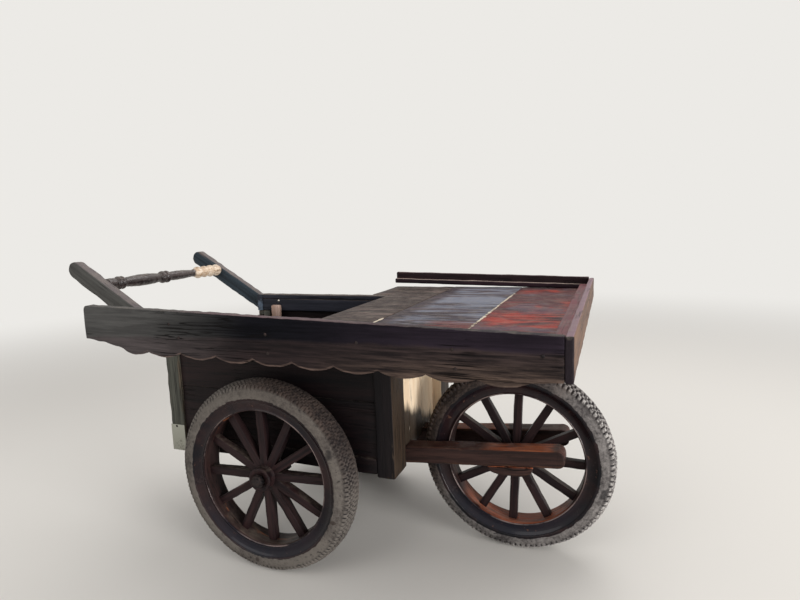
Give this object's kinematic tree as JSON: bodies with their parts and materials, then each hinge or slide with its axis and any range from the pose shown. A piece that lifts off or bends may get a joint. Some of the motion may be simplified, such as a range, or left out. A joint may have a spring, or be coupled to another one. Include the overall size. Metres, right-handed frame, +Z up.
{
  "type": "hand cart",
  "caption": "Street vendor's wooden hand cart: planked deck with a scalloped side board over an open box, spoked wheels on tyres, a fork wheel ahead and a push handle behind.",
  "frame": {"origin": "on the ground under the middle of the cart's length and width", "axes": "+X forward to the fork wheel, +Y to the cart's left, +Z up"},
  "size_m": [1.81, 1.16, 0.969],
  "materials": {
    "timber_dark": "worn dark paint on timber",
    "timber_pale": "weathered bare timber",
    "timber_fork": "worn brown timber",
    "timber_turned": "handled, semi-gloss",
    "deck_paint": "worn grey and red paint",
    "wheel_wood": "worn maroon paint",
    "rim_paint": "dark gloss paint",
    "tyre": "dusty worn rubber",
    "steel": "dull, lightly rusted",
    "plate_metal": "pale worn sheet"
  },
  "bodies": {
    "cart": {"joist_left": "timber_dark", "joist_right": "timber_dark", "deck_bearers": "timber_dark", "well_edges": "timber_dark", "side_board_right": "timber_dark", "side_board_left": "timber_dark", "rail_left": "timber_dark", "rail_strip_left": "timber_dark", "front_strip": "timber_dark", "posts_rear": "timber_dark", "posts_front": "timber_dark", "box_sills": "timber_dark", "box_sides": "timber_dark", "cross_rails": "timber_dark", "fork_rail": "timber_dark", "box_rear": "timber_dark", "box_floor": "timber_dark", "handle_arm_left": "timber_dark", "handle_arm_right": "timber_dark", "box_front": "timber_pale", "front_board": "timber_pale", "joist_cleat": "timber_pale", "fork_arm_right": "timber_fork", "fork_arm_left": "timber_fork", "axle_blocks": "timber_fork", "crossbar": "timber_turned", "deck_panel_rear": "deck_paint", "deck_panel_middle": "deck_paint", "deck_panel_front": "deck_paint", "deck_wings": "deck_paint", "axle_front": "steel", "axle_rear": "steel", "axle_nuts": "steel", "axle_clamps": "steel", "joist_strap": "steel", "post_plate": "plate_metal"},
    "wheel_front": {"tyre_front": "tyre", "felloe_front": "wheel_wood", "spoked_hub_front": "wheel_wood"},
    "wheel_rear_right": {"tyre_rear_right": "tyre", "felloe_rear_right": "wheel_wood", "spoked_hub_rear_right": "wheel_wood"},
    "wheel_rear_left": {"tyre_rear_left": "tyre", "felloe_rear_left": "wheel_wood", "spoked_hub_rear_left": "wheel_wood"}
  },
  "joints": [
    {"name": "front_spin", "type": "hinge", "parent": "cart", "child": "wheel_front", "pos_m": [0.6, 0, 0.305], "axis": [0, 1, 0], "continuous": true},
    {"name": "rear_right_spin", "type": "hinge", "parent": "cart", "child": "wheel_rear_right", "pos_m": [-0.108, -0.351, 0.305], "axis": [0, 1, 0], "continuous": true},
    {"name": "rear_left_spin", "type": "hinge", "parent": "cart", "child": "wheel_rear_left", "pos_m": [-0.108, 0.351, 0.305], "axis": [0, 1, 0], "continuous": true}
  ]
}
